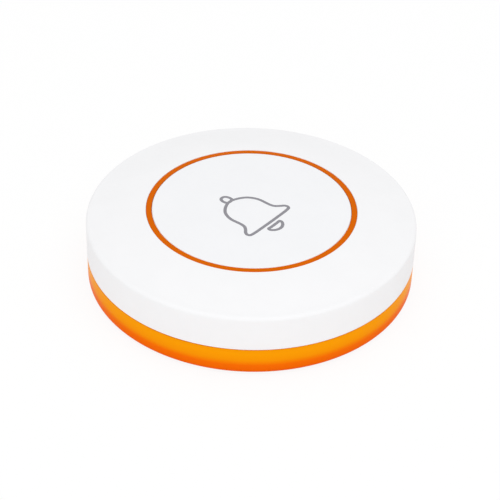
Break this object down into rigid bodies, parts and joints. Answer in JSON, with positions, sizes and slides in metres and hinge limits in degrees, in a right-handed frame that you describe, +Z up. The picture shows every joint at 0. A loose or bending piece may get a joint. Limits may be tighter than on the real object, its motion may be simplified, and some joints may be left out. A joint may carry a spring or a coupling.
{
  "type": "waiter call button",
  "caption": "Round table-top call button: white crowned shell on an orange base, large push button inside an orange ring, coin cell under a bayonet cover.",
  "frame": {"origin": "centre of the disc on the plane of the undersides of the rubber feet", "axes": "+Z up through the button, +Y towards the top of the bell sign on the button"},
  "size_m": [0.06, 0.06, 0.0146],
  "materials": {
    "white_abs": "fine satin moulded white",
    "orange_abs": "glossy moulded orange",
    "foot_rubber": "matt black rubber",
    "silicone": "translucent matt silicone",
    "zinc_steel": "zinc plated steel",
    "nickel_steel": "bright nickel plated steel",
    "board_laminate": "green solder mask",
    "switch_plastic": "matt black plastic",
    "chip_plastic": "matt black moulding",
    "tinned_copper": "tinned copper",
    "led_resin": "pale clear resin",
    "capacitor_ceramic": "tan ceramic",
    "resistor_ceramic": "black film on ceramic"
  },
  "bodies": {
    "housing": {"top_shell": "white_abs", "base_shell": "orange_abs", "button_carrier": "orange_abs", "rubber_feet": "foot_rubber", "plunger_boot": "silicone", "housing_screws": "zinc_steel", "cell_can": "nickel_steel", "cell_lid": "nickel_steel", "contact_positive": "nickel_steel", "contact_negative": "nickel_steel", "circuit_board": "board_laminate", "switch_housing": "switch_plastic", "switch_cover_plate": "nickel_steel", "switch_dome": "nickel_steel", "switch_terminals": "tinned_copper", "radio_chip": "chip_plastic", "chip_legs": "tinned_copper", "crystal": "nickel_steel", "status_led": "led_resin", "capacitors": "capacitor_ceramic", "resistors": "resistor_ceramic", "antenna_wire": "tinned_copper"},
    "button": {"button_cap": "white_abs"},
    "plunger": {"switch_plunger": "switch_plastic"},
    "battery_cover": {"battery_cover": "orange_abs"}
  },
  "joints": [
    {"name": "button_press", "type": "slide", "parent": "housing", "child": "button", "axis": [0, 0, -1], "range_m": [0, 0.0006], "stiffness_N_per_m": 1500, "springref_m": -0.0006, "deforming": ["plunger_boot"]},
    {"name": "plunger_press", "type": "slide", "parent": "housing", "child": "plunger", "axis": [0, 0, -1], "range_m": [0, 0.00024], "deforming": ["switch_dome"]},
    {"name": "battery_cover_turn", "type": "hinge", "parent": "housing", "child": "battery_cover", "pos_m": [0, 0, 0.001], "axis": [0, 0, -1], "range_deg": [0, 40]}
  ],
  "couplings": [
    {"joint": "plunger_press", "follows": "button_press", "ratio": 0.4}
  ]
}
